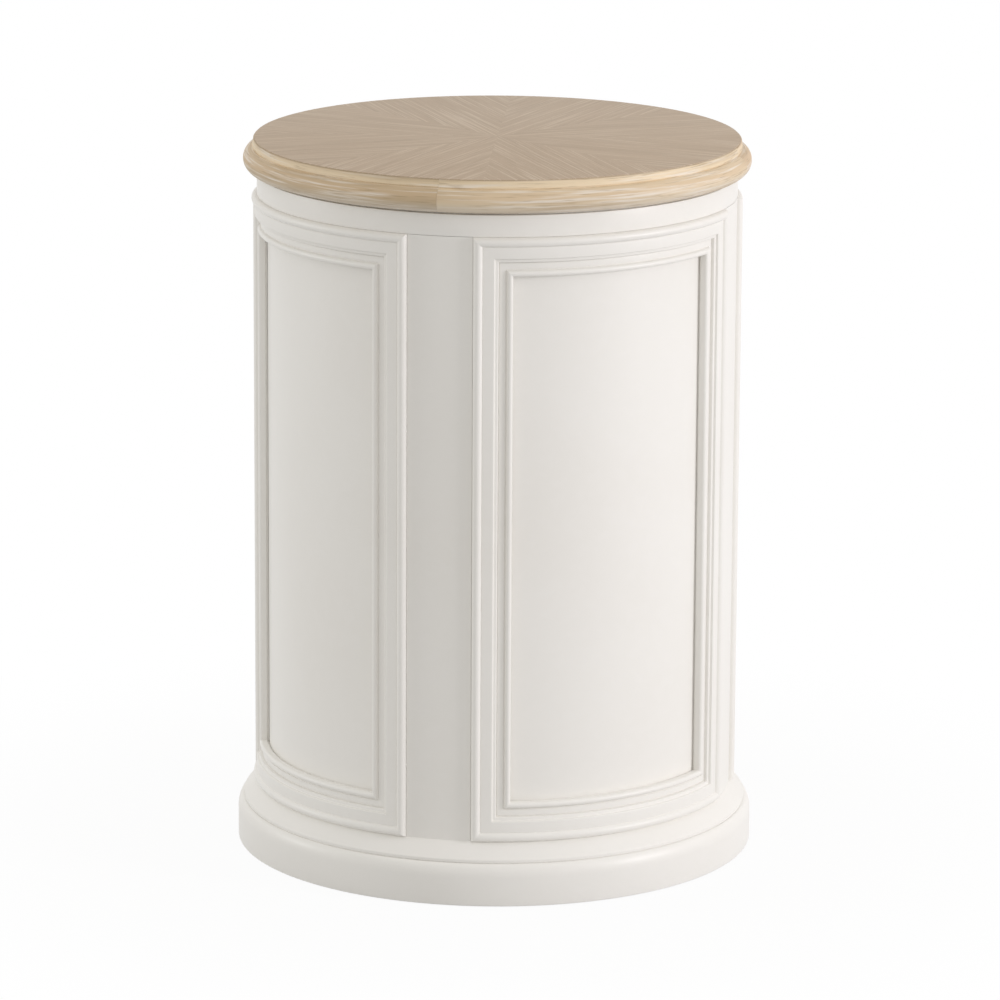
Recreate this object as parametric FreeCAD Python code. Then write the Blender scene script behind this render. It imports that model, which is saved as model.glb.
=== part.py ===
import FreeCAD, Part
import math
import os

# Round accent table: a closed drum of bent panels with applied stiles and mitred panel mouldings,
# standing on a stepped base and carrying an oak top. Millimetres and degrees. The table stands on
# z = 0, z is its axis, and one panel faces -Y.

# Body
PANEL_COUNT = 4
DRUM_RADIUS = 210.0  # face of the stiles and of the frieze band
STILE_WIDTH = 57.0  # round the face
STILE_THICKNESS = 9.0
PANEL_THICKNESS = 9.6
FRAME_HEIGHT = 528.6  # from the base cap to the frieze band
FRIEZE_HEIGHT = 20.7
GLUE_LINE = 0.2  # between curved faces that are glued
JOINT_GAP = 0.3  # open joint between neighbours in the painted body

# Panel moulding, outer edge first; heights are above the face of the panel
BEAD_WIDTH = 8.2
BEAD_SHOULDER = 10.2
BEAD_HEIGHT = 13.6
FASCIA_WIDTH = 9.6
FASCIA_HEIGHT = 11.0
STEP_WIDTH = 2.0
TREAD_WIDTH = 1.2
TREAD_HEIGHT = 8.6
GROOVE_WIDTH = 5.6
GROOVE_HEIGHT = 5.8
ASTRAGAL_WIDTH = 5.4
ASTRAGAL_HEIGHT = 8.6
ASTRAGAL_SIDE = 5.8
BEAD_FLATS = 3  # the round members are worked as this many flats
ASTRAGAL_FLATS = 2

# Base
GLIDE_COUNT = 4
GLIDE_DIAMETER = 22.0
GLIDE_HEIGHT = 1.0  # the glides lift the plinth off the floor
PLINTH_HEIGHT = 36.8
PLINTH_STEP = 4.6  # plinth face beyond the edge of the base cap
PLINTH_ROUND_DROP = 11.3  # height of the rounded upper edge
PLINTH_ROUND_LAP = 0.6  # the rounding runs this far in under the base cap
PLINTH_ROUND_FLATS = 3
PLINTH_LAP = 21.0  # how far the plinth reaches in under the lower former
CAP_PROJECTION = 14.0  # edge of the base cap beyond the stiles
CAP_HEIGHT = 15.9
CAP_EDGE = 1.2
CAP_REVEAL = 0.3  # flat left outside the stiles before the weathering starts
QUIRK_HEIGHT = 1.0
QUIRK_DEPTH = 1.6

# Top
TOP_OVERHANG = 11.8  # bullnose beyond the frieze band
TOP_CORE_THICKNESS = 27.9
TOP_EDGE_COUNT = 4
TOP_EDGE_WIDTH = 34.0  # from the core to the face of the lip
TOP_EDGE_JOINT = 0.1
NOSE_FLATS = 6
LIP_HEIGHT = 7.2
LIP_SETBACK = 7.9  # face of the lip behind the bullnose
LIP_QUIRK_DEPTH = 0.8
LIP_QUIRK_HEIGHT = 0.7
VENEER_COUNT = 8
VENEER_THICKNESS = 0.6
VENEER_MARGIN = 2.0  # lip left bare round the veneer
VENEER_TURN = 10.0  # first seam of the sunburst from +X

# Inside
FORMER_THICKNESS = 18.0
UPPER_FORMER_WIDTH = 71.0
BATTEN_WIDTH = 44.0
BATTEN_THICKNESS = 18.0
GLUE_BLOCK_LEG = 24.0
GLUE_BLOCK_TOE = 4.0
GLUE_BLOCK_LENGTH = 60.0

# Levels, from the floor up
PLINTH_BOTTOM = GLIDE_HEIGHT
PLINTH_TOP = PLINTH_BOTTOM + PLINTH_HEIGHT
CAP_TOP = PLINTH_TOP + CAP_HEIGHT
FRIEZE_BOTTOM = CAP_TOP + FRAME_HEIGHT
FRIEZE_TOP = FRIEZE_BOTTOM + FRIEZE_HEIGHT
CORE_TOP = FRIEZE_TOP + TOP_CORE_THICKNESS
LOWER_FORMER_TOP = PLINTH_TOP + FORMER_THICKNESS
UPPER_FORMER_BOTTOM = FRIEZE_TOP - FORMER_THICKNESS

# Radii, from the inside out
APPLIED_BACK = DRUM_RADIUS - STILE_THICKNESS  # back of stiles, frieze band and mouldings
PANEL_FACE = APPLIED_BACK - GLUE_LINE
PANEL_BACK = PANEL_FACE - PANEL_THICKNESS
FORMER_RADIUS = PANEL_BACK - GLUE_LINE
PLINTH_INNER = FORMER_RADIUS - PLINTH_LAP
CAP_RADIUS = DRUM_RADIUS + CAP_PROJECTION
PLINTH_RADIUS = CAP_RADIUS + PLINTH_STEP
TOP_RADIUS = DRUM_RADIUS + TOP_OVERHANG
LIP_RADIUS = TOP_RADIUS - LIP_SETBACK
CORE_RADIUS = LIP_RADIUS - TOP_EDGE_WIDTH
UPPER_FORMER_INNER = FORMER_RADIUS - UPPER_FORMER_WIDTH
GLIDE_CIRCLE = (PLINTH_INNER + PLINTH_RADIUS) / 2

# Angles: panel 1 faces -Y, and a stile stands half a pitch on from each panel
PITCH = 360.0 / PANEL_COUNT
FIRST_PANEL = -90.0
FIRST_STILE = FIRST_PANEL + PITCH / 2
STILE_ANGLE = math.degrees(STILE_WIDTH / DRUM_RADIUS)
FRAME_ANGLE = PITCH - STILE_ANGLE - 2 * math.degrees(JOINT_GAP / DRUM_RADIUS)

MOULDING_WIDTH = BEAD_WIDTH + FASCIA_WIDTH + 2 * STEP_WIDTH + TREAD_WIDTH + GROOVE_WIDTH + ASTRAGAL_WIDTH
FRAME_BOTTOM = CAP_TOP
FRAME_TOP = FRIEZE_BOTTOM - JOINT_GAP

ORIGIN = FreeCAD.Vector(0, 0, 0)
UP = FreeCAD.Vector(0, 0, 1)


class Outline:
    """A closed outline drawn in two numbers that `place` turns into a point in space."""

    def __init__(self, place, start):
        self.place = place
        self.start = start
        self.last = start
        self.edges = []

    def line(self, end):
        self.edges.append(Part.LineSegment(self.place(*self.last), self.place(*end)).toShape())
        self.last = end
        return self

    def arc(self, middle, end):
        points = [self.place(*point) for point in (self.last, middle, end)]
        self.edges.append(Part.Arc(*points).toShape())
        self.last = end
        return self

    def flats(self, middle, end, count):
        """Equal flats along the circle that passes the last point, a middle point and the end."""
        points = [FreeCAD.Vector(*point, 0) for point in (self.last, middle, end)]
        round_edge = Part.Arc(*points).toShape()
        for point in round_edge.discretize(count + 1)[1:-1]:
            self.line((point.x, point.y))
        return self.line(end)

    def face(self):
        if self.last != self.start:
            self.line(self.start)
        return Part.Face(Part.Wire(self.edges))


def section(radius, height):
    """A point of a turned section: radius from the axis and height above the floor."""
    return FreeCAD.Vector(radius, 0, height)


def turned(face, start=0.0, sweep=360.0):
    """Turns a section about the axis, from one angle through a sweep."""
    solid = face.revolve(ORIGIN, UP, sweep)
    solid.rotate(ORIGIN, UP, start)
    return solid


def band(inner, outer, bottom, top, middle=0.0, sweep=360.0):
    """A ring, or a piece of one about its middle angle, with square edges."""
    outline = Outline(section, (inner, bottom))
    outline.line((outer, bottom)).line((outer, top)).line((inner, top))
    return turned(outline.face(), middle - sweep / 2, sweep)


def turned_copy(shape, angle):
    copy = shape.copy()
    copy.rotate(ORIGIN, UP, angle)
    return copy


def round_pattern(shape, count, first=0.0):
    """Copies of a shape made on +X, evenly round the axis."""
    return [turned_copy(shape, first + index * 360.0 / count) for index in range(count)]


def save(name, shape):
    shape.exportStep("parts/" + name + ".step")


def save_row(name, shapes):
    for index, shape in enumerate(shapes, start=1):
        save(name + "_" + str(index), shape)


# Panel mouldings

def moulding_outline(place):
    """The moulding's section, but for its back: distance in from the frame's edge, height above the panel."""
    fascia_end = BEAD_WIDTH + FASCIA_WIDTH
    tread_start = fascia_end + STEP_WIDTH
    tread_end = tread_start + TREAD_WIDTH
    groove_start = tread_end + STEP_WIDTH
    groove_end = groove_start + GROOVE_WIDTH
    astragal_crest = (groove_end + ASTRAGAL_WIDTH / 2, ASTRAGAL_HEIGHT)
    outline = Outline(place, (0.0, 0.0))
    outline.line((0.0, BEAD_SHOULDER))
    outline.flats((BEAD_WIDTH / 2, BEAD_HEIGHT), (BEAD_WIDTH, FASCIA_HEIGHT), BEAD_FLATS)
    outline.line((fascia_end, FASCIA_HEIGHT))
    outline.line((tread_start, TREAD_HEIGHT))
    outline.line((tread_end, TREAD_HEIGHT))
    outline.line((groove_start, GROOVE_HEIGHT))
    outline.line((groove_end, GROOVE_HEIGHT))
    outline.flats(astragal_crest, (MOULDING_WIDTH, ASTRAGAL_SIDE), ASTRAGAL_FLATS)
    outline.line((MOULDING_WIDTH, 0.0))
    return outline


def across(distance):
    """The angle that a distance round the face takes up."""
    return math.degrees(distance / DRUM_RADIUS)


def mitre_waste(side, level, upright):
    """The block that a mitre cut takes off one end of a moulding.

    side is +1 or -1 for the frame's edge on the left or right of +X, level +1 or -1 for its top or
    bottom, and upright says whether the moulding that is cut stands or lies.
    """
    angle = math.radians(side * (FRAME_ANGLE / 2 - across(MOULDING_WIDTH / 2)))
    edge = FRAME_TOP if level > 0 else FRAME_BOTTOM
    reach = 2 * MOULDING_WIDTH
    radial = FreeCAD.Vector(math.cos(angle), math.sin(angle), 0)
    sideways = FreeCAD.Vector(-side * math.sin(angle), side * math.cos(angle), 0)
    upward = UP * level
    waste_way = (upward - sideways) if upright else (sideways - upward)
    along = sideways + upward
    centre = radial * APPLIED_BACK + UP * (edge - level * MOULDING_WIDTH / 2)
    corners = [centre + radial * (a * reach) + along * (b * reach)
               for a, b in ((-1, -1), (1, -1), (1, 1), (-1, 1))]
    return Part.Face(Part.makePolygon(corners + corners[:1])).extrude(waste_way * reach)


def lying_moulding(level):
    """The top or bottom moulding of a frame whose middle is on +X."""
    edge = FRAME_TOP if level > 0 else FRAME_BOTTOM
    outline = moulding_outline(lambda s, h: section(APPLIED_BACK + h, edge - level * s))
    bar = turned(outline.face(), -FRAME_ANGLE / 2, FRAME_ANGLE)
    return bar.cut([mitre_waste(side, level, False) for side in (1, -1)])


def standing_moulding(side):
    """The moulding down one side of a frame whose middle is on +X."""

    def place(s, h):
        angle = math.radians(side * (FRAME_ANGLE / 2 - across(s)))
        radius = APPLIED_BACK + h
        return FreeCAD.Vector(radius * math.cos(angle), radius * math.sin(angle), FRAME_BOTTOM)

    outline = moulding_outline(place).arc((MOULDING_WIDTH / 2, 0.0), (0.0, 0.0))
    bar = outline.face().extrude(UP * (FRAME_TOP - FRAME_BOTTOM))
    return bar.cut([mitre_waste(side, level, True) for level in (1, -1)])


def build_mouldings():
    frame = {"top": lying_moulding(1), "bottom": lying_moulding(-1),
             "left": standing_moulding(-1), "right": standing_moulding(1)}
    for place, bar in frame.items():
        for index, copy in enumerate(round_pattern(bar.Solids[0], PANEL_COUNT, FIRST_PANEL), start=1):
            save("panel_" + str(index) + "_moulding_" + place, copy)


# Drum

def build_drum():
    panel_sweep = PITCH - math.degrees(JOINT_GAP / PANEL_FACE)
    panel = band(PANEL_BACK, PANEL_FACE, PLINTH_TOP, FRIEZE_TOP, 0.0, panel_sweep)
    save_row("panel", round_pattern(panel, PANEL_COUNT, FIRST_PANEL))
    stile = band(APPLIED_BACK, DRUM_RADIUS, CAP_TOP, FRIEZE_BOTTOM - JOINT_GAP, 0.0, STILE_ANGLE)
    save_row("stile", round_pattern(stile, PANEL_COUNT, FIRST_STILE))
    save("frieze_band", band(APPLIED_BACK, DRUM_RADIUS, FRIEZE_BOTTOM, FRIEZE_TOP))


# Base

def build_base_cap():
    quirk_top = PLINTH_TOP + QUIRK_HEIGHT
    outline = Outline(section, (APPLIED_BACK, PLINTH_TOP))
    outline.line((CAP_RADIUS - QUIRK_DEPTH, PLINTH_TOP))
    outline.line((CAP_RADIUS - QUIRK_DEPTH, quirk_top))
    outline.line((CAP_RADIUS, quirk_top))
    outline.line((CAP_RADIUS, quirk_top + CAP_EDGE))
    outline.line((DRUM_RADIUS + CAP_REVEAL, CAP_TOP))
    outline.line((APPLIED_BACK, CAP_TOP))
    save("base_cap", turned(outline.face()))


def plinth_outline():
    """The plinth's section, with its upper edge rounded on an arc that leaves the face smoothly."""
    run = PLINTH_STEP + PLINTH_ROUND_LAP
    drop = PLINTH_ROUND_DROP
    arc_radius = (run * run + drop * drop) / (2 * run)
    half_turn = math.asin(drop / arc_radius) / 2
    round_start = PLINTH_TOP - drop
    middle = (PLINTH_RADIUS - arc_radius * (1 - math.cos(half_turn)),
              round_start + arc_radius * math.sin(half_turn))
    outline = Outline(section, (PLINTH_INNER, PLINTH_BOTTOM))
    outline.line((PLINTH_RADIUS, PLINTH_BOTTOM))
    outline.line((PLINTH_RADIUS, round_start))
    outline.flats(middle, (PLINTH_RADIUS - run, PLINTH_TOP), PLINTH_ROUND_FLATS)
    outline.line((PLINTH_INNER, PLINTH_TOP))
    return outline


def build_plinth():
    save("plinth_ring", turned(plinth_outline().face()))
    glide = Part.makeCylinder(GLIDE_DIAMETER / 2, GLIDE_HEIGHT, FreeCAD.Vector(GLIDE_CIRCLE, 0, 0))
    save("floor_glides", Part.Compound(round_pattern(glide, GLIDE_COUNT, FIRST_STILE)))


# Inside of the drum

def against_panels(block):
    """Shapes the back of a straight block to the round of the panels."""
    return block.common(band(0.0, FORMER_RADIUS, PLINTH_TOP, FRIEZE_TOP)).Solids[0]


def batten():
    """An upright batten on +X, from the lower former to the upper one."""
    height = UPPER_FORMER_BOTTOM - LOWER_FORMER_TOP
    corner = FreeCAD.Vector(FORMER_RADIUS - BATTEN_THICKNESS, -BATTEN_WIDTH / 2, LOWER_FORMER_TOP)
    return against_panels(Part.makeBox(BATTEN_THICKNESS, BATTEN_WIDTH, height, corner))


def glue_block(level, way):
    """A glue block on +X in the corner of a former and a panel, above (+1) or below (-1) a level."""

    def place(radius, height):
        return FreeCAD.Vector(radius, -GLUE_BLOCK_LENGTH / 2, height)

    outline = Outline(place, (FORMER_RADIUS, level))
    outline.line((FORMER_RADIUS - GLUE_BLOCK_LEG, level))
    outline.line((FORMER_RADIUS - GLUE_BLOCK_LEG, level + way * GLUE_BLOCK_TOE))
    outline.line((FORMER_RADIUS - GLUE_BLOCK_TOE, level + way * GLUE_BLOCK_LEG))
    outline.line((FORMER_RADIUS, level + way * GLUE_BLOCK_LEG))
    return against_panels(outline.face().extrude(FreeCAD.Vector(0, GLUE_BLOCK_LENGTH, 0)))


def build_inside():
    save("upper_former", band(UPPER_FORMER_INNER, FORMER_RADIUS, UPPER_FORMER_BOTTOM, FRIEZE_TOP))
    save("lower_former", band(0.0, FORMER_RADIUS, PLINTH_TOP, LOWER_FORMER_TOP))
    save_row("joint_batten", round_pattern(batten(), PANEL_COUNT, FIRST_STILE))
    upper_block = glue_block(UPPER_FORMER_BOTTOM, -1)
    lower_block = glue_block(LOWER_FORMER_TOP, 1)
    save_row("glue_block_upper", round_pattern(upper_block, PANEL_COUNT, FIRST_PANEL))
    save_row("glue_block_lower", round_pattern(lower_block, PANEL_COUNT, FIRST_PANEL))


# Top

def top_edge_outline():
    """The edging's section: half-round bullnose below, a quirk, and a square lip."""
    nose = (TOP_CORE_THICKNESS - LIP_HEIGHT) / 2
    nose_radius = TOP_RADIUS - nose
    nose_height = FRIEZE_TOP + nose
    quirk_radius = LIP_RADIUS - LIP_QUIRK_DEPTH
    quirk_angle = math.acos((quirk_radius - nose_radius) / nose)
    quirk_bottom = nose_height + nose * math.sin(quirk_angle)
    outline = Outline(section, (CORE_RADIUS + GLUE_LINE, FRIEZE_TOP))
    outline.line((nose_radius, FRIEZE_TOP))
    outline.flats((TOP_RADIUS, nose_height), (quirk_radius, quirk_bottom), NOSE_FLATS)
    outline.line((quirk_radius, quirk_bottom + LIP_QUIRK_HEIGHT))
    outline.line((LIP_RADIUS, quirk_bottom + LIP_QUIRK_HEIGHT))
    outline.line((LIP_RADIUS, CORE_TOP))
    outline.line((CORE_RADIUS + GLUE_LINE, CORE_TOP))
    return outline


def build_top():
    save("top_core", band(0.0, CORE_RADIUS, FRIEZE_TOP, CORE_TOP))
    edge_sweep = 360.0 / TOP_EDGE_COUNT - math.degrees(TOP_EDGE_JOINT / LIP_RADIUS)
    edge = turned(top_edge_outline().face(), -edge_sweep / 2, edge_sweep)
    save_row("top_edge", round_pattern(edge, TOP_EDGE_COUNT, FIRST_PANEL))
    sweep = 360.0 / VENEER_COUNT
    veneer_top = CORE_TOP + VENEER_THICKNESS
    wedge = band(0.0, LIP_RADIUS - VENEER_MARGIN, CORE_TOP, veneer_top, sweep / 2, sweep)
    save_row("top_veneer", round_pattern(wedge, VENEER_COUNT, VENEER_TURN))


os.makedirs("parts", exist_ok=True)
build_base_cap()
build_plinth()
build_drum()
build_mouldings()
build_inside()
build_top()
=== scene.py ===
"""Dresses the round accent table for its picture.

The painted drum and the oak top are made again as smooth pieces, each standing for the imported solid
of the same name and in the same place. The hidden pieces keep their solids and get a finish. Sizes
in the classes are millimetres and degrees, as on a maker's drawing; meshes are in metres.
"""

import logging
import math
from dataclasses import dataclass, field, replace
from enum import Enum
from typing import Any, Iterable, Mapping, Sequence

import bmesh
import bpy
import numpy as np
from mathutils import Matrix, Vector

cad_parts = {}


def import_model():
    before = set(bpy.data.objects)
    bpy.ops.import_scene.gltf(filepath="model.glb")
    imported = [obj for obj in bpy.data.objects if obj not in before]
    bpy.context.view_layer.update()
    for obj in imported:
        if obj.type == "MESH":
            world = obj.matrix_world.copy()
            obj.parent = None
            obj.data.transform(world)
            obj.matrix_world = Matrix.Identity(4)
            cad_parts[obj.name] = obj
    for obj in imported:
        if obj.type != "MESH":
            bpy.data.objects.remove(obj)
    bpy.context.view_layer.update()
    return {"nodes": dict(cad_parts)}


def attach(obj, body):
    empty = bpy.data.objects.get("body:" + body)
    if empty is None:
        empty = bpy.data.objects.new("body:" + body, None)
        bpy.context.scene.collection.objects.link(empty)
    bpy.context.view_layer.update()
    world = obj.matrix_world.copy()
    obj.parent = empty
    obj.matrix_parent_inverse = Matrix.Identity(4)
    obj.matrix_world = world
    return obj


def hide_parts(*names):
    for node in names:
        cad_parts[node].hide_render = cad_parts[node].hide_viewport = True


MM = 0.001
BODY = "root"
GRAIN = "grain"
LOG = logging.getLogger("accent_table")

MATH = "ShaderNodeMath"
WHOLE_MATH = "FunctionNodeIntegerMath"
WHITE = "FFFFFF"

EASE_ROOM = 0.49  # share of a side that one eased corner may take up
NO_LIMIT = 1e9
MERGE_DISTANCE = 0.002  # points of a swept piece that lie nearer than this become one


class Run(Enum):
    """Which way a section is carried."""

    ROUND = "Section carried round the drum"
    UPRIGHT = "Section carried up the drum"


class Pattern(Enum):
    """What the pattern of a finish follows."""

    GRAIN = "the grain that the piece carries"
    SPACE = "the piece's own space"


def linear(colour: str) -> tuple[float, float, float, float]:
    """Turns an sRGB hex colour into linear light.

    Args:
        colour: six hex digits, with or without a leading #.

    Returns:
        Red, green, blue and an alpha of one.
    """
    digits = colour.lstrip("#")
    parts = [int(digits[i:i + 2], 16) / 255 for i in (0, 2, 4)]
    red, green, blue = (p / 12.92 if p <= 0.04045 else ((p + 0.055) / 1.055) ** 2.4 for p in parts)
    return red, green, blue, 1.0


def add_node(tree: bpy.types.NodeTree, kind: str, settings: Mapping[str, Any] | None = None,
             inputs: Mapping[int | str, Any] | None = None) -> bpy.types.Node:
    """Adds a node with its settings and links.

    Args:
        tree: the tree that gets the node.
        kind: the node's type name.
        settings: values for the node's own properties.
        inputs: a value, or an output to link, for each input by name or number.

    Returns:
        The new node.
    """
    node = tree.nodes.new(kind)
    for name, value in (settings or {}).items():
        setattr(node, name, value)
    for key, value in (inputs or {}).items():
        if isinstance(value, bpy.types.NodeSocket):
            tree.links.new(value, node.inputs[key])
        else:
            node.inputs[key].default_value = value
    return node


# Finishes


@dataclass(frozen=True)
class Layer:
    """One layer of a finish: a drawn-out noise that tints, raises and dulls the surface."""

    length: float
    width: float
    colour: str
    strength: float
    low: float = 0.45
    high: float = 0.65
    detail: float = 2.0
    height: float = 0.0
    dulling: float = 0.0

    def mask(self, tree: bpy.types.NodeTree, place: bpy.types.NodeSocket) -> bpy.types.NodeSocket:
        """Draws the layer's pattern.

        Args:
            tree: the material's tree.
            place: the vector that the pattern follows.

        Returns:
            Nought where the layer is absent, one where it is full.
        """
        stretch = (1 / (self.length * MM), 1 / (self.width * MM), 1 / (self.width * MM))
        spot = add_node(tree, "ShaderNodeMapping", inputs={"Vector": place, "Scale": stretch})
        noise = add_node(tree, "ShaderNodeTexNoise", inputs={
            "Vector": spot.outputs[0], "Scale": 1.0, "Detail": self.detail})
        return add_node(tree, "ShaderNodeMapRange", {"interpolation_type": "SMOOTHSTEP"}, {
            "Value": noise.outputs[0], "From Min": self.low, "From Max": self.high}).outputs[0]


@dataclass(frozen=True)
class Band:
    """A tint that a finish takes on between two heights."""

    bottom: float
    top: float
    soft: float
    colour: str
    strength: float

    def share(self, tree: bpy.types.NodeTree, place: bpy.types.NodeSocket) -> bpy.types.NodeSocket:
        """Finds how much of the tint each height gets.

        Args:
            tree: the material's tree.
            place: the vector whose third part is the height.

        Returns:
            The tint's share: its strength inside the band, nought outside.
        """
        level = add_node(tree, "ShaderNodeSeparateXYZ", inputs={0: place}).outputs[2]
        risen = add_node(tree, "ShaderNodeMapRange", inputs={
            "Value": level, "From Min": (self.bottom - self.soft) * MM,
            "From Max": (self.bottom + self.soft) * MM, "To Max": self.strength}).outputs[0]
        return add_node(tree, "ShaderNodeMapRange", inputs={
            "Value": level, "From Min": (self.top - self.soft) * MM,
            "From Max": (self.top + self.soft) * MM, "To Min": risen, "To Max": 0.0}).outputs[0]


def tinted(tree: bpy.types.NodeTree, share: bpy.types.NodeSocket, under: Any,
           colour: str) -> bpy.types.NodeSocket:
    """Lays a colour over another.

    Args:
        tree: the material's tree.
        share: how much of the new colour shows.
        under: the colour beneath, as a value or an output.
        colour: the new colour in sRGB hex.

    Returns:
        The mixed colour.
    """
    return add_node(tree, "ShaderNodeMix", {"data_type": "RGBA"}, {
        0: share, 6: under, 7: linear(colour)}).outputs[2]


@dataclass(frozen=True)
class Finish:
    """A finish built of layers over a ground colour."""

    name: str
    slot: str
    ground: str
    layers: tuple[Layer, ...]
    bands: tuple[Band, ...] = ()
    pattern: Pattern = Pattern.SPACE
    roughness: float = 0.5
    ior: float = 1.5

    def material(self) -> bpy.types.Material:
        """Builds the finish once.

        Returns:
            The material of this name, new or already made.
        """
        made = bpy.data.materials.get(self.name)
        if made:
            return made
        made = bpy.data.materials.new(self.name)
        made.use_nodes = True
        made.diffuse_color = linear(self.ground)
        tree = made.node_tree
        shader = tree.nodes["Principled BSDF"]
        shader.inputs["IOR"].default_value = self.ior
        if self.pattern is Pattern.GRAIN:
            place = add_node(tree, "ShaderNodeAttribute", {"attribute_name": GRAIN}).outputs["Vector"]
        else:
            place = add_node(tree, "ShaderNodeTexCoord").outputs["Object"]
        colour: Any = linear(self.ground)
        height: Any = 0.0
        rough: Any = self.roughness
        for band in self.bands:
            colour = tinted(tree, band.share(tree, place), colour, band.colour)
        for layer in self.layers:
            mask = layer.mask(tree, place)
            share = add_node(tree, MATH, {"operation": "MULTIPLY"}, {0: mask, 1: layer.strength}).outputs[0]
            colour = tinted(tree, share, colour, layer.colour)
            if layer.height:
                height = add_node(tree, MATH, {"operation": "MULTIPLY_ADD"}, {
                    0: mask, 1: layer.height * MM, 2: height}).outputs[0]
            if layer.dulling:
                rough = add_node(tree, MATH, {"operation": "MULTIPLY_ADD"}, {
                    0: mask, 1: layer.dulling, 2: rough}).outputs[0]
        tree.links.new(colour, shader.inputs["Base Color"])
        if isinstance(height, bpy.types.NodeSocket):
            bump = add_node(tree, "ShaderNodeBump", inputs={"Height": height, "Distance": 1.0})
            tree.links.new(bump.outputs[0], shader.inputs["Normal"])
        if isinstance(rough, bpy.types.NodeSocket):
            tree.links.new(rough, shader.inputs["Roughness"])
        else:
            shader.inputs["Roughness"].default_value = rough
        return made


# Satin lacquer sprayed on wood: nearly even white, with a faint orange peel and slight clouds.
LACQUER = Finish(
    name="white_lacquer_on_wood", slot="white_lacquer", ground="F4F2ED", roughness=0.4,
    layers=(
        Layer(length=210, width=170, colour="F0EDE7", strength=0.4, low=0.4, high=0.7),
        Layer(length=14, width=11, colour="F7F5F1", strength=0.15, height=0.006, dulling=0.04),
        Layer(length=2.4, width=2.4, colour="F1EFEA", strength=0.1, height=0.002),
    ))

# Solid oak, bleached and limed: a peach ground that pales towards the underside, long streaks of lime
# and short tan pores. The lip's face is painted paler, a painted highlight where it faces the light, and
# the step under the veneer is painted dark, a painted shadow in that corner.
EDGING = Finish(
    name="limed_oak_edging", slot="oak_edging", ground="D9C2A6", roughness=0.55, pattern=Pattern.GRAIN,
    bands=(
        Band(bottom=590, top=609, soft=4, colour="E2DACE", strength=0.55),
        Band(bottom=614, top=622, soft=3, colour="D6B893", strength=0.45),
        # Painted highlight: the lip's face is painted paler, as if lit from the front.
        Band(bottom=623.2, top=630.1, soft=0.3, colour="EFDBBA", strength=0.78),
        # Painted shade: a dark band on the step under the veneer's edge, standing in for the shadow in that
        # corner.
        Band(bottom=630.6, top=700, soft=0.1, colour="96866A", strength=0.8),
    ),
    layers=(
        Layer(length=130, width=8, colour="BCA584", strength=0.58, low=0.42, high=0.68),
        Layer(length=70, width=2.6, colour="F0E8DC", strength=0.72, low=0.48, high=0.7, detail=3,
              dulling=0.08),
        Layer(length=26, width=1.1, colour="A48D6B", strength=0.5, low=0.56, high=0.72, height=-0.04),
    ))

# Oak veneer, bleached and stained grey beige: fine straight lines, with lime left in the pores. Real
# pores are too fine to show, so the lines of lime and the pores are drawn several times wider.
VENEER = Finish(
    name="bleached_oak_veneer", slot="oak_veneer", ground="BFA990", roughness=0.58, pattern=Pattern.GRAIN,
    layers=(
        Layer(length=420, width=24, colour="B6A087", strength=0.4, low=0.4, high=0.66),
        Layer(length=150, width=2.2, colour="DAC9B3", strength=0.5, low=0.52, high=0.61, height=-0.02),
        Layer(length=60, width=1.2, colour="A38D75", strength=0.4, low=0.53, high=0.68, height=-0.03),
        Layer(length=9, width=0.5, colour="E0D2BE", strength=0.3, low=0.58, high=0.7, height=-0.03),
    ))

# Raw fibreboard: an even brown felt of fine fibres.
FIBREBOARD = Finish(
    name="raw_fibreboard", slot="core_board", ground="B59A75", roughness=0.85,
    layers=(Layer(length=1.2, width=0.8, colour="A58A66", strength=0.6, height=0.02),))

# Raw plywood: pale birch with soft bands.
PLYWOOD = Finish(
    name="raw_birch_plywood", slot="plywood", ground="CDB083", roughness=0.75,
    layers=(
        Layer(length=90, width=6, colour="BB9A6B", strength=0.6),
        Layer(length=20, width=1, colour="D9C097", strength=0.4, height=0.03),
    ))

# Sawn softwood: yellow, with upright growth lines and a rough face.
SOFTWOOD = Finish(
    name="sawn_softwood", slot="softwood", ground="D4B684", roughness=0.8,
    layers=(
        Layer(length=5, width=60, colour="C39C63", strength=0.7),
        Layer(length=1.2, width=14, colour="E0C79B", strength=0.4, height=0.05),
    ))

# Moulded plastic glides: plain off-white with a light scuff.
GLIDE_PLASTIC = Finish(
    name="moulded_glide_plastic", slot="glide_plastic", ground="CCC9C2", roughness=0.5,
    layers=(Layer(length=4, width=1, colour="B9B5AC", strength=0.5, height=0.01, dulling=0.15),))


# Sections


@dataclass(frozen=True)
class Corner:
    """One corner of a section and the radius that eases it."""

    across: float
    up: float
    ease: float = 0.0


def arc_corners(centre: tuple[float, float], radius: float, start: float, end: float,
                steps: int) -> list[Corner]:
    """Corners along an arc of a section.

    Args:
        centre: the arc's middle.
        radius: its radius.
        start: the angle that it starts at, from the first axis towards the second.
        end: the angle that it ends at.
        steps: how many straight steps it has.

    Returns:
        The arc's corners, both ends among them.
    """
    angles = np.radians(np.linspace(start, end, steps + 1))
    return [Corner(centre[0] + radius * math.cos(a), centre[1] + radius * math.sin(a)) for a in angles]


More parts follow.
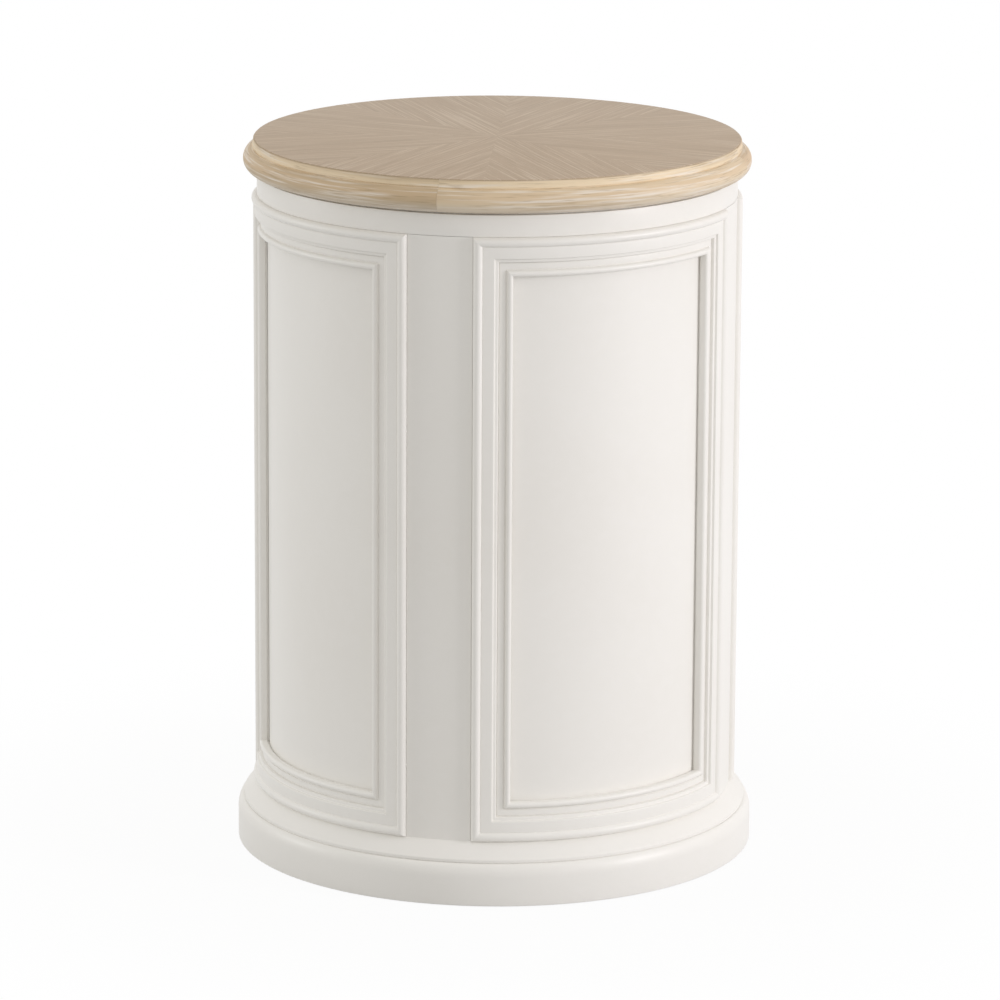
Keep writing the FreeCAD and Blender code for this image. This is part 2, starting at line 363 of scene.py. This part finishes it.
def eased(corners: Sequence[Corner], longest: float = NO_LIMIT) -> np.ndarray:
    """Rounds the corners of a closed section and splits its long sides.

    Args:
        corners: the corners in order.
        longest: no side is left longer than this.

    Returns:
        The section's points, one row each.
    """
    points: list[Vector] = []
    for i, corner in enumerate(corners):
        here = Vector((corner.across, corner.up))
        before = Vector((corners[i - 1].across, corners[i - 1].up)) - here
        after = Vector((corners[(i + 1) % len(corners)].across, corners[(i + 1) % len(corners)].up)) - here
        if corner.ease <= 0:
            points.append(here)
            continue
        half = before.angle(after) / 2
        room = EASE_ROOM * min(before.length, after.length)
        reach = min(corner.ease / math.tan(half), room)
        radius = reach * math.tan(half)
        middle = here + (before.normalized() + after.normalized()).normalized() * (radius / math.sin(half))
        first = here + before.normalized() * reach - middle
        last = here + after.normalized() * reach - middle
        turn = first.angle_signed(last)
        steps = 3 + int(min(radius, 4) * 2)
        for step in range(steps + 1):
            swing = Matrix.Rotation(-turn * step / steps, 2)
            points.append(middle + swing @ first)
    split: list[Vector] = []
    for i, point in enumerate(points):
        onward = points[(i + 1) % len(points)] - point
        parts = max(1, math.ceil(onward.length / longest))
        split.extend(point + onward * (part / parts) for part in range(parts))
    return np.array([(p.x, p.y) for p in split])


# Geometry trees


def sweep_tree(run: Run) -> bpy.types.NodeTree:
    """Builds the tree that carries a section round the drum or up it, with mitred ends if asked.

    A section's points hold the radius, the distance in from the edge of its frame, and the height.

    Args:
        run: which way the section goes.

    Returns:
        The tree, new or already made.
    """
    made = bpy.data.node_groups.get(run.value)
    if made:
        return made
    tree = bpy.data.node_groups.new(run.value, "GeometryNodeTree")
    for name, kind in (("Section", "Geometry"), ("Steps", "Int"), ("From", "Float"), ("To", "Float"),
                       ("Turn", "Float"), ("Edge", "Float"), ("Mitre", "Float"), ("Face Radius", "Float"),
                       ("Straight Grain", "Bool"), ("Grain Shift", "Vector"), ("Finish", "Material")):
        tree.interface.new_socket(name, in_out="INPUT", socket_type="NodeSocket" + kind)
    tree.interface.new_socket("Piece", in_out="OUTPUT", socket_type="NodeSocketGeometry")
    given = add_node(tree, "NodeGroupInput").outputs
    # A grid with one column for each step and one row for each point of the section, the first point twice.
    count = add_node(tree, "GeometryNodeAttributeDomainSize", inputs={0: given["Section"]}).outputs[0]
    rows = add_node(tree, WHOLE_MATH, inputs={0: count, 1: 1}).outputs[0]
    columns = add_node(tree, WHOLE_MATH, inputs={0: given["Steps"], 1: 1}).outputs[0]
    grid = add_node(tree, "GeometryNodeMeshGrid", inputs={"Vertices X": columns, "Vertices Y": rows})
    index = add_node(tree, "GeometryNodeInputIndex").outputs[0]
    column = add_node(tree, WHOLE_MATH, {"operation": "DIVIDE_FLOOR"}, {0: index, 1: rows}).outputs[0]
    row = add_node(tree, WHOLE_MATH, {"operation": "MODULO"}, {0: index, 1: rows}).outputs[0]
    point = add_node(tree, WHOLE_MATH, {"operation": "MODULO"}, {0: row, 1: count}).outputs[0]
    place = add_node(tree, "GeometryNodeInputPosition").outputs[0]
    sample = add_node(tree, "GeometryNodeSampleIndex", {"data_type": "FLOAT_VECTOR"}, {
        "Geometry": given["Section"], "Value": place, "Index": point}).outputs[0]
    radius, inset, height = add_node(tree, "ShaderNodeSeparateXYZ", inputs={0: sample}).outputs
    # How far along the run each column lies. A mitre starts later, the further in from the frame's edge.
    share = add_node(tree, MATH, {"operation": "DIVIDE"}, {0: column, 1: given["Steps"]}).outputs[0]
    inset_turn = add_node(tree, MATH, {"operation": "DIVIDE"}, {
        0: inset, 1: given["Face Radius"]}).outputs[0]
    bite = add_node(tree, MATH, {"operation": "MULTIPLY"}, {
        0: inset_turn if run is Run.ROUND else inset, 1: given["Mitre"]}).outputs[0]
    first = add_node(tree, MATH, inputs={0: given["From"], 1: bite}).outputs[0]
    last = add_node(tree, MATH, {"operation": "SUBTRACT"}, {0: given["To"], 1: bite}).outputs[0]
    along = add_node(tree, "ShaderNodeMapRange", {"clamp": False}, {
        "Value": share, "To Min": first, "To Max": last}).outputs[0]
    if run is Run.ROUND:
        bearing = along
    else:
        side = add_node(tree, MATH, {"operation": "SIGN"}, {0: given["Edge"]}).outputs[0]
        back = add_node(tree, MATH, {"operation": "MULTIPLY"}, {0: side, 1: inset_turn}).outputs[0]
        bearing = add_node(tree, MATH, {"operation": "SUBTRACT"}, {0: given["Edge"], 1: back}).outputs[0]
        height = along
    # The place on the drum, and the same place before the piece is turned, for straight grain.
    angle = add_node(tree, MATH, inputs={0: bearing, 1: given["Turn"]}).outputs[0]
    level = {}
    for name, turn in (("placed", angle), ("laid", bearing)):
        east = add_node(tree, MATH, {"operation": "COSINE"}, {0: turn}).outputs[0]
        north = add_node(tree, MATH, {"operation": "SINE"}, {0: turn}).outputs[0]
        flat = add_node(tree, "ShaderNodeCombineXYZ", inputs={0: east, 1: north}).outputs[0]
        level[name] = add_node(tree, "ShaderNodeVectorMath", {"operation": "SCALE"}, {
            "Vector": flat, "Scale": radius}).outputs[0]
    rise = add_node(tree, "ShaderNodeCombineXYZ", inputs={2: height}).outputs[0]
    spot = add_node(tree, "ShaderNodeVectorMath", inputs={0: level["placed"], 1: rise}).outputs[0]
    moved = add_node(tree, "GeometryNodeSetPosition", inputs={
        "Geometry": grid.outputs[0], "Position": spot})
    straight = add_node(tree, "ShaderNodeVectorMath", inputs={0: level["laid"], 1: rise}).outputs[0]
    length = add_node(tree, MATH, {"operation": "MULTIPLY"}, {
        0: bearing, 1: given["Face Radius"]}).outputs[0]
    bent = add_node(tree, "ShaderNodeCombineXYZ", inputs={0: length, 1: radius, 2: height}).outputs[0]
    lay = add_node(tree, "GeometryNodeSwitch", {"input_type": "VECTOR"}, {
        "Switch": given["Straight Grain"], "False": bent, "True": straight}).outputs[0]
    shifted = add_node(tree, "ShaderNodeVectorMath", inputs={0: lay, 1: given["Grain Shift"]}).outputs[0]
    # The grain goes with the piece, then the seam of the section is closed.
    stored = add_node(tree, "GeometryNodeStoreNamedAttribute", {"data_type": "FLOAT_VECTOR"}, {
        "Geometry": moved.outputs[0], "Name": GRAIN, "Value": shifted})
    merged = add_node(tree, "GeometryNodeMergeByDistance", inputs={
        "Geometry": stored.outputs[0], "Distance": MERGE_DISTANCE * MM})
    real = add_node(tree, "GeometryNodeRealizeInstances", inputs={0: merged.outputs[0]})
    dressed = add_node(tree, "GeometryNodeSetMaterial", inputs={
        "Geometry": real.outputs[0], "Material": given["Finish"]})
    add_node(tree, "NodeGroupOutput", inputs={0: dressed.outputs[0]})
    return tree


@dataclass
class Sweep:
    """A piece made by carrying a section round the drum or up it."""

    node: str
    finish: Finish
    points: np.ndarray
    run: Run
    start: float
    end: float
    steps: int
    turn: float = 0.0
    edge: float = 0.0
    mitre: bool = False
    face_radius: float = 210.0
    straight_grain: bool = False
    grain_shift: tuple[float, float, float] = (0.0, 0.0, 0.0)
    crease: float = 38.0

    def build(self) -> bpy.types.Object:
        """Carries the section, closes the ends and puts the piece in the place of its solid.

        Returns:
            The finished piece.
        """
        scale = math.radians(1) if self.run is Run.ROUND else MM
        values = {
            "Steps": self.steps, "From": self.start * scale, "To": self.end * scale,
            "Turn": math.radians(self.turn), "Edge": math.radians(self.edge), "Mitre": float(self.mitre),
            "Face Radius": self.face_radius * MM, "Straight Grain": self.straight_grain,
            "Grain Shift": self.grain_shift, "Finish": self.finish.material(),
        }
        section = bpy.data.meshes.new(self.node + "_section")
        section.from_pydata([tuple(p) for p in self.points * MM], [], [])
        holder = bpy.data.objects.new(self.node + "_section", section)
        bpy.context.scene.collection.objects.link(holder)
        tree = sweep_tree(self.run)
        modifier = holder.modifiers.new("sweep", "NODES")
        modifier.node_group = tree
        for socket in tree.interface.items_tree:
            if socket.in_out == "INPUT" and socket.name in values:
                modifier[socket.identifier] = values[socket.name]
        graph = bpy.context.evaluated_depsgraph_get()
        mesh = bpy.data.meshes.new_from_object(holder.evaluated_get(graph), depsgraph=graph)
        bpy.data.objects.remove(holder)
        bpy.data.meshes.remove(section)
        close_and_shade(mesh, self.crease)
        mesh.name = self.node + "_dressed"
        piece = bpy.data.objects.new(self.node + "_dressed", mesh)
        bpy.context.scene.collection.objects.link(piece)
        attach(piece, BODY)
        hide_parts(self.node)
        LOG.info("%s: %d faces", piece.name, len(mesh.polygons))
        return piece


def close_and_shade(mesh: bpy.types.Mesh, crease: float) -> None:
    """Closes the open ends of a swept piece, turns its faces outwards and shades it.

    Args:
        mesh: the piece's mesh.
        crease: edges that turn by more than this many degrees stay sharp.
    """
    work = bmesh.new()
    work.from_mesh(mesh)
    bmesh.ops.holes_fill(work, edges=[e for e in work.edges if e.is_boundary], sides=0)
    bmesh.ops.recalc_face_normals(work, faces=work.faces)
    for face in work.faces:
        face.smooth = True
    work.to_mesh(mesh)
    work.free()
    mesh.set_sharp_from_angle(angle=math.radians(crease))


def as_section(points: np.ndarray, inset: float = 0.0) -> np.ndarray:
    """Turns radius and height points into section points at one distance from the frame's edge."""
    return np.column_stack([points[:, 0], np.full(len(points), inset), points[:, 1]])


# Sub-assemblies


@dataclass
class Levels:
    """The heights and radii that the sub-assemblies share."""

    floor: float = 1.0
    plinth_top: float = 37.8
    cap_top: float = 53.7
    frieze_bottom: float = 582.3
    frieze_top: float = 603.0
    core_top: float = 630.9
    veneer_top: float = 631.5
    face: float = 210.0
    back: float = 201.0
    panel_face: float = 200.8
    panel_back: float = 191.2
    joint: float = 0.3
    pitch: float = 90.0
    first_panel: float = -90.0

    def turn(self, index: int) -> float:
        """The bearing of the middle of a panel, counted from one."""
        return self.first_panel + (index - 1) * self.pitch


@dataclass
class SteppedBase:
    """The plinth and the cap with its sloping weathering."""

    levels: Levels
    plinth_radius: float = 228.6
    plinth_inner: float = 170.0
    round_drop: float = 11.6
    round_run: float = 6.2
    cap_radius: float = 223.2
    cap_edge: float = 2.5
    reveal: float = 0.3
    quirk_height: float = 0.5
    quirk_depth: float = 0.7
    hollow_ease: float = 1.0
    foot_ease: float = 0.8
    quirk_ease: float = 0.1
    cap_ease: float = 1.2
    slope_ease: float = 0.6
    round_points: int = 13
    steps: int = 192

    def build(self) -> None:
        """Builds both rings."""
        lv = self.levels
        plinth = [Corner(self.plinth_inner, lv.floor, self.hollow_ease),
                  Corner(self.plinth_radius, lv.floor, self.foot_ease)]
        for turn in np.radians(np.linspace(0, 90, self.round_points)):
            plinth.append(Corner(self.plinth_radius - self.round_run * (1 - math.cos(turn)),
                                 lv.plinth_top - self.round_drop * (1 - math.sin(turn))))
        plinth.append(Corner(self.plinth_inner, lv.plinth_top))
        self.ring("plinth_ring", plinth)
        quirk = lv.plinth_top + self.quirk_height
        cap = [
            Corner(lv.back, lv.plinth_top),
            Corner(self.cap_radius - self.quirk_depth, lv.plinth_top),
            Corner(self.cap_radius - self.quirk_depth, quirk),
            Corner(self.cap_radius, quirk, self.quirk_ease),
            Corner(self.cap_radius, quirk + self.cap_edge, self.cap_ease),
            Corner(lv.face + self.reveal, lv.cap_top, self.slope_ease),
            Corner(lv.back, lv.cap_top),
        ]
        self.ring("base_cap", cap)

    def ring(self, node: str, corners: Sequence[Corner]) -> None:
        """Turns one painted ring."""
        Sweep(node, LACQUER, as_section(eased(corners)), Run.ROUND, 0, 360, self.steps).build()


@dataclass
class PanelMoulding:
    """The stepped moulding that frames a panel: bead, fascia, two steps, groove and astragal."""

    width: float = 34.0
    reach: float = 0.2
    bead_middle: tuple[float, float] = (4.1, 9.6)
    bead_radius: float = 4.0
    bead_drop: float = 1.2
    bead_arc: tuple[float, float] = (170.0, 20.0)
    bead_steps: int = 14
    bead_foot: tuple[float, float] = (0.5, 0.3)
    fascia: tuple[float, float] = (8.6, 18.2)
    fascia_height: float = 11.0
    fascia_ease: float = 0.15
    tread: tuple[float, float] = (18.6, 21.3)
    tread_height: float = 8.7
    step_ease: float = 1.0
    inner_ease: float = 0.2
    groove: tuple[float, float] = (21.8, 27.4)
    groove_height: float = 5.9
    foot_width: float = 0.4
    foot_floor: float = 5.4
    foot_ease: float = 0.15
    quirk_width: float = 0.8
    quirk_floor: float = 5.1
    astragal_radius: float = 2.6
    astragal_steps: int = 12
    undercut: float = 1.6
    undercut_rise: float = 1.2
    upright_side: float = 2.0
    rail_side: float = 12.0

    def corners(self) -> list[Corner]:
        """The section's corners: distance in from the frame's edge, and height above the back."""
        shape = [Corner(-self.reach, 0.0), Corner(-self.reach, self.bead_middle[1] - self.bead_drop)]
        shape += arc_corners(self.bead_middle, self.bead_radius, *self.bead_arc, self.bead_steps)
        shape += [
            Corner(self.fascia[0] - self.bead_foot[0], self.fascia_height - self.bead_foot[1]),
            Corner(self.fascia[0], self.fascia_height, self.fascia_ease),
            Corner(self.fascia[1], self.fascia_height, self.step_ease),
            Corner(self.tread[0], self.tread_height, self.inner_ease),
            Corner(self.tread[1], self.tread_height, self.step_ease),
            Corner(self.groove[0], self.foot_floor),
            Corner(self.groove[0] + self.foot_width, self.foot_floor),
            Corner(self.groove[0] + self.foot_width, self.groove_height, self.foot_ease),
            Corner(self.groove[1], self.groove_height, self.inner_ease),
            Corner(self.groove[1], self.quirk_floor),
            Corner(self.groove[1] + self.quirk_width, self.quirk_floor),
        ]
        shape += arc_corners((self.width - self.astragal_radius, self.groove_height), self.astragal_radius,
                             180, 0, self.astragal_steps)
        shape += [
            Corner(self.width, self.undercut_rise * self.undercut),
            Corner(self.width - self.undercut, self.undercut),
            Corner(self.width - self.undercut, 0.0),
        ]
        return shape

    def section(self, level: Levels, edge: float = 0.0, way: float = 0.0) -> np.ndarray:
        """The section's points.

        Args:
            level: the shared levels.
            edge: for a lying moulding, the height of the frame's edge.
            way: for a lying moulding, -1 at the top of the frame and +1 at its bottom.

        Returns:
            Radius, distance in from the frame's edge, and height, one row each.
        """
        points = eased(self.corners(), self.upright_side if way == 0 else self.rail_side)
        inset = points[:, 0]
        return np.column_stack([level.back + points[:, 1], inset, edge + way * inset])


@dataclass
class PanelledDrum:
    """The drum: four panels with their mouldings, four stiles and the frieze band."""

    levels: Levels
    moulding: PanelMoulding = field(default_factory=PanelMoulding)
    panels: int = 4
    stile_width: float = 57.0
    frieze_quirk: float = 1.9
    quirk_depth: float = 4.5
    quirk_ease: float = 0.4
    arris: float = 0.15
    stile_side: float = 3.0
    panel_steps: int = 90
    rail_steps: int = 96
    ring_steps: int = 192
    upright_steps: int = 4

    @property
    def stile_angle(self) -> float:
        """The angle that a stile takes up."""
        return math.degrees(self.stile_width / self.levels.face)

    @property
    def frame_half(self) -> float:
        """Half the angle that a panel's frame takes up."""
        joint = math.degrees(self.levels.joint / self.levels.face)
        return (self.levels.pitch - self.stile_angle) / 2 - joint

    def build(self) -> None:
        """Builds the frieze band and the pieces of each quarter."""
        lv = self.levels
        quirk = lv.frieze_top - self.frieze_quirk
        frieze = [Corner(lv.back, lv.frieze_bottom), Corner(lv.face, lv.frieze_bottom, self.arris),
                  Corner(lv.face, quirk, self.quirk_ease), Corner(lv.face - self.quirk_depth, quirk),
                  Corner(lv.face - self.quirk_depth, lv.frieze_top), Corner(lv.back, lv.frieze_top)]
        Sweep("frieze_band", LACQUER, as_section(eased(frieze)), Run.ROUND, 0, 360, self.ring_steps).build()
        for index in range(1, self.panels + 1):
            self.build_panel(index)
            self.build_stile(index)
            self.build_frame(index)

    def build_panel(self, index: int) -> None:
        """Builds one bent panel."""
        lv = self.levels
        half = lv.pitch / 2 - math.degrees(lv.joint / lv.panel_face) / 2
        corners = [Corner(lv.panel_back, lv.plinth_top), Corner(lv.panel_face, lv.plinth_top),
                   Corner(lv.panel_face, lv.frieze_top), Corner(lv.panel_back, lv.frieze_top)]
        Sweep(f"panel_{index}", LACQUER, as_section(eased(corners)), Run.ROUND, -half, half,
              self.panel_steps, turn=lv.turn(index)).build()

    def build_stile(self, index: int) -> None:
        """Builds one upright stile, with eased edges."""
        lv = self.levels
        corners = [Corner(0, lv.back), Corner(0, lv.face, self.arris),
                   Corner(self.stile_width, lv.face, self.arris), Corner(self.stile_width, lv.back)]
        points = eased(corners, self.stile_side)
        section = np.column_stack([points[:, 1], points[:, 0], np.zeros(len(points))])
        Sweep(f"stile_{index}", LACQUER, section, Run.UPRIGHT, lv.cap_top, lv.frieze_bottom - lv.joint,
              self.upright_steps, turn=lv.turn(index) + lv.pitch / 2, edge=self.stile_angle / 2).build()

    def build_frame(self, index: int) -> None:
        """Builds the four mitred mouldings of one panel."""
        lv = self.levels
        bottom, top = lv.cap_top, lv.frieze_bottom - lv.joint
        for name, edge, way in (("top", top, -1.0), ("bottom", bottom, 1.0)):
            Sweep(f"panel_{index}_moulding_{name}", LACQUER, self.moulding.section(lv, edge, way),
                  Run.ROUND, -self.frame_half, self.frame_half, self.rail_steps, turn=lv.turn(index),
                  mitre=True).build()
        for name, edge in (("left", -self.frame_half), ("right", self.frame_half)):
            Sweep(f"panel_{index}_moulding_{name}", LACQUER, self.moulding.section(lv), Run.UPRIGHT,
                  bottom, top, self.upright_steps, turn=lv.turn(index), edge=edge, mitre=True).build()


@dataclass
class OakTop:
    """The veneered top with its edging of four quarters."""

    levels: Levels
    radius: float = 221.8
    lip_radius: float = 213.9
    lip_height: float = 7.2
    inner_radius: float = 180.1
    quirk_depth: float = 0.8
    quirk_height: float = 0.7
    joint: float = 0.1
    quarters: int = 4
    wedges: int = 8
    wedge_turn: float = 10.0
    wedge_tip: float = 0.15
    wedge_steps: int = 30
    veneer_margin: float = 2.0
    veneer_ease: float = 0.35
    margin_lap: float = 0.2
    lip_flare: float = 0.9
    lip_step: float = 0.4
    lip_foot: float = 2.4
    lip_eases: tuple[float, float, float] = (0.3, 1.6, 0.7)
    nose_steps: int = 26
    edge_steps: int = 96
    tones: tuple[str, ...] = ("E2CFB1", "D8C0A2", "D4C0A3", "C6B191")
    edge_shift: tuple[float, float] = (1.7, 0.31)
    wedge_shift: tuple[float, float] = (0.9, 0.37)

    def build(self) -> None:
        """Builds the edging and the veneer."""
        self.build_edging()
        self.build_veneer()

    def build_edging(self) -> None:
        """Builds the four quarters, each bullnosed with a square lip above a quirk."""
        lv = self.levels
        nose = (lv.core_top - lv.frieze_top - self.lip_height) / 2
        centre = (self.radius - nose, lv.frieze_top + nose)
        quirk = self.lip_radius - self.quirk_depth
        quirk_angle = math.degrees(math.acos((quirk - centre[0]) / nose))
        quirk_bottom = centre[1] + nose * math.sin(math.radians(quirk_angle))
        lip_top = lv.core_top - self.lip_step
        corners = [Corner(self.inner_radius, lv.frieze_top)]
        corners += arc_corners(centre, nose, -90, quirk_angle, self.nose_steps)
        lip_bottom = quirk_bottom + self.quirk_height
        lip_face = self.lip_radius - self.lip_flare
        margin = self.lip_radius - self.veneer_margin + self.margin_lap
        corners += [
            Corner(quirk, lip_bottom),
            Corner(self.lip_radius, lip_bottom, self.lip_eases[0]),
            Corner(lip_face, lip_bottom + self.lip_foot, self.lip_eases[1]),
            Corner(lip_face, lip_top, self.lip_eases[2]),
            Corner(margin, lip_top),
            Corner(margin, lv.core_top),
            Corner(self.inner_radius, lv.core_top),
        ]
        half = 180.0 / self.quarters - math.degrees(self.joint / self.lip_radius) / 2
        along, across = self.edge_shift
        for index, tone in enumerate(self.tones, start=1):
            oak = replace(EDGING, name=f"{EDGING.name}_{index}", ground=tone)
            Sweep(f"top_edge_{index}", oak, as_section(eased(corners)), Run.ROUND, -half, half,
                  self.edge_steps, turn=lv.turn(index),
                  grain_shift=(along * index, across * index, 0)).build()

    def build_veneer(self) -> None:
        """Builds the wedges, each with its grain along its own middle."""
        lv = self.levels
        rim = self.lip_radius - self.veneer_margin
        corners = [Corner(self.wedge_tip, lv.core_top), Corner(rim, lv.core_top),
                   Corner(rim, lv.veneer_top, self.veneer_ease), Corner(self.wedge_tip, lv.veneer_top)]
        half = 180.0 / self.wedges
        along, across = self.wedge_shift
        for index in range(1, self.wedges + 1):
            Sweep(f"top_veneer_{index}", VENEER, as_section(eased(corners)), Run.ROUND, -half, half,
                  self.wedge_steps, turn=self.wedge_turn + (2 * index - 1) * half, straight_grain=True,
                  grain_shift=(along * index, across * index, 0)).build()


@dataclass
class InnerFrame:
    """The hidden pieces, which keep their solids."""

    nodes: Mapping[str, bpy.types.Object]
    finishes: tuple[tuple[str, Finish], ...] = (
        ("top_core", FIBREBOARD), ("upper_former", PLYWOOD), ("lower_former", PLYWOOD),
        ("joint_batten", SOFTWOOD), ("glue_block", SOFTWOOD), ("floor_glides", GLIDE_PLASTIC),
    )

    def dress(self) -> None:
        """Gives each hidden piece its finish."""
        for start, finish in self.finishes:
            for name in sorted(n for n in self.nodes if n.startswith(start)):
                slots = self.nodes[name].data.materials
                slots.clear()
                slots.append(finish.material())
                LOG.info("%s: %s", name, finish.name)


# Studio


@dataclass(frozen=True)
class Softbox:
    """A soft light, placed by its bearing from the camera's own and its height angle, sized in metres."""

    name: str
    bearing: float
    elevation: float
    distance: float
    width: float
    height: float
    watts: float
    colour: str = WHITE


def swung(first: Vector, second: Vector, angle: float) -> tuple[Vector, Vector]:
    """Swings two directions that are square to each other, the first towards the second.

    Args:
        first: one direction.
        second: the other direction.
        angle: how far to swing them.

    Returns:
        Both directions after the swing.
    """
    cos, sin = math.cos(math.radians(angle)), math.sin(math.radians(angle))
    return first * cos + second * sin, second * cos - first * sin


@dataclass
class Studio:
    """The floor, the light and the camera."""

    camera_bearing: float = -31.7
    camera_elevation: float = 13.293
    camera_distance: float = 5142.0
    aim_height: float = 330.0
    focal_pixels: float = 5818.1
    frame_pixels: float = 1000.0
    yaw: float = 0.043
    pitch: float = -0.269
    roll: float = 0.308
    sensor_width: float = 36.0
    far_clip: float = 100.0
    ambient: float = 0.71
    ambient_colour: str = "FFFDFA"
    floor_size: float = 60.0
    paper: str = "F2F2F2"
    bounce: str = "C8C8C8"
    shadow_start: float = 250.0
    shadow_reach: float = 700.0
    shadow_share: float = 0.07
    lights: tuple[Softbox, ...] = (
        Softbox("key_softbox", bearing=68, elevation=12, distance=3.5, width=0.7, height=0.7, watts=45,
                colour="FDFAFF"),
        Softbox("left_softbox", bearing=-95, elevation=10, distance=3.5, width=0.7, height=0.7, watts=17),
    )

    def build(self) -> None:
        """Builds the whole studio."""
        self.build_floor()
        self.build_world()
        for light in self.lights:
            self.build_light(light)
        self.build_camera()
        bpy.context.scene.view_settings.view_transform = "Standard"

    def heading(self, bearing: float, elevation: float) -> Vector:
        """The direction of a bearing, counted from the camera's own, and a height angle."""
        turn, lift = math.radians(self.camera_bearing + bearing), math.radians(elevation)
        return Vector((math.sin(turn) * math.cos(lift), -math.cos(turn) * math.cos(lift), math.sin(lift)))

    def build_floor(self) -> None:
        """A wide pale floor, white to the eye, that keeps a faint shadow."""
        half = self.floor_size / 2
        mesh = bpy.data.meshes.new("studio_floor")
        mesh.from_pydata([(-half, -half, 0), (half, -half, 0), (half, half, 0), (-half, half, 0)], [],
                         [(0, 1, 2, 3)])
        floor = bpy.data.objects.new("studio_floor", mesh)
        bpy.context.scene.collection.objects.link(floor)
        # White paper sweep: matt, lit to white where no shadow falls.
        paper = bpy.data.materials.new("white_paper_sweep")
        paper.use_nodes = True
        tree = paper.node_tree
        tree.nodes.clear()
        path = add_node(tree, "ShaderNodeLightPath").outputs
        matt = add_node(tree, "ShaderNodeBsdfDiffuse", inputs={"Color": linear(self.paper)})
        bounce = add_node(tree, "ShaderNodeBsdfDiffuse", inputs={"Color": linear(self.bounce)})
        glow = add_node(tree, "ShaderNodeEmission", inputs={"Color": linear(WHITE), "Strength": 1.0})
        spot = add_node(tree, "ShaderNodeTexCoord").outputs["Object"]
        far = add_node(tree, "ShaderNodeVectorMath", {"operation": "LENGTH"}, {0: spot}).outputs["Value"]
        near = add_node(tree, "ShaderNodeMapRange", {"interpolation_type": "SMOOTHSTEP"}, {
            "Value": far, "From Min": self.shadow_start * MM, "From Max": self.shadow_reach * MM,
            "To Min": self.shadow_share, "To Max": 0.0}).outputs[0]
        bright = add_node(tree, "ShaderNodeMixShader", inputs={
            0: near, 1: glow.outputs[0], 2: matt.outputs[0]})
        seen = self.seen_rays(tree, path)
        out = add_node(tree, "ShaderNodeMixShader", inputs={
            0: seen, 1: bounce.outputs[0], 2: bright.outputs[0]})
        add_node(tree, "ShaderNodeOutputMaterial", inputs={0: out.outputs[0]})
        mesh.materials.append(paper)

    def seen_rays(self, tree: bpy.types.NodeTree, path: Any) -> bpy.types.NodeSocket:
        """One where a ray comes from the camera, a reflection or through glass.

        Args:
            tree: the tree to build in.
            path: the light path's outputs.

        Returns:
            The share of the seen background.
        """
        gloss = add_node(tree, MATH, {"operation": "MAXIMUM"}, {
            0: path["Is Glossy Ray"], 1: path["Is Transmission Ray"]}).outputs[0]
        return add_node(tree, MATH, {"operation": "MAXIMUM"}, {
            0: path["Is Camera Ray"], 1: gloss}).outputs[0]

    def build_world(self) -> None:
        """An even pale surround, white where it is seen."""
        world = bpy.data.worlds.new("studio_surround")
        world.use_nodes = True
        bpy.context.scene.world = world
        tree = world.node_tree
        tree.nodes.clear()
        path = add_node(tree, "ShaderNodeLightPath").outputs
        light = add_node(tree, "ShaderNodeBackground", inputs={
            "Color": linear(self.ambient_colour), "Strength": self.ambient})
        white = add_node(tree, "ShaderNodeBackground", inputs={"Color": linear(WHITE), "Strength": 1.0})
        mix = add_node(tree, "ShaderNodeMixShader", inputs={
            0: self.seen_rays(tree, path), 1: light.outputs[0], 2: white.outputs[0]})
        add_node(tree, "ShaderNodeOutputWorld", inputs={0: mix.outputs[0]})

    def build_light(self, light: Softbox) -> None:
        """Hangs one softbox, turned to the middle of the table."""
        data = bpy.data.lights.new(light.name, "AREA")
        data.shape = "RECTANGLE"
        data.size, data.size_y = light.width, light.height
        data.energy = light.watts
        data.color = linear(light.colour)[:3]
        lamp = bpy.data.objects.new(light.name, data)
        bpy.context.scene.collection.objects.link(lamp)
        away = self.heading(light.bearing, light.elevation)
        lamp.location = Vector((0, 0, self.aim_height * MM)) + away * light.distance
        lamp.rotation_mode = "QUATERNION"
        lamp.rotation_quaternion = away.to_track_quat("Z", "Y")

    def build_camera(self) -> None:
        """Sets the camera at the picture's angle, with its small yaw, pitch and roll."""
        data = bpy.data.cameras.new("picture_camera")
        data.sensor_width = self.sensor_width
        data.lens = self.focal_pixels / self.frame_pixels * self.sensor_width
        data.clip_end = self.far_clip
        camera = bpy.data.objects.new("picture_camera", data)
        bpy.context.scene.collection.objects.link(camera)
        back = self.heading(0, self.camera_elevation)
        forward = -back
        right = forward.cross(Vector((0, 0, 1))).normalized()
        up = right.cross(forward)
        forward, right = swung(forward, right, self.yaw)
        forward, up = swung(forward, up, self.pitch)
        right, up = swung(right, up, self.roll)
        spot = Vector((0, 0, self.aim_height * MM)) + back * (self.camera_distance * MM)
        turn = Matrix((right, up, -forward)).transposed().to_4x4()
        camera.matrix_world = Matrix.Translation(spot) @ turn
        bpy.context.scene.camera = camera


def main() -> None:
    """Builds the table and the studio."""
    logging.basicConfig(level=logging.INFO, format="%(name)s %(message)s")
    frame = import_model()
    levels = Levels()
    SteppedBase(levels).build()
    PanelledDrum(levels).build()
    OakTop(levels).build()
    InnerFrame(frame["nodes"]).dress()
    Studio().build()


if __name__ == "__main__":
    main()
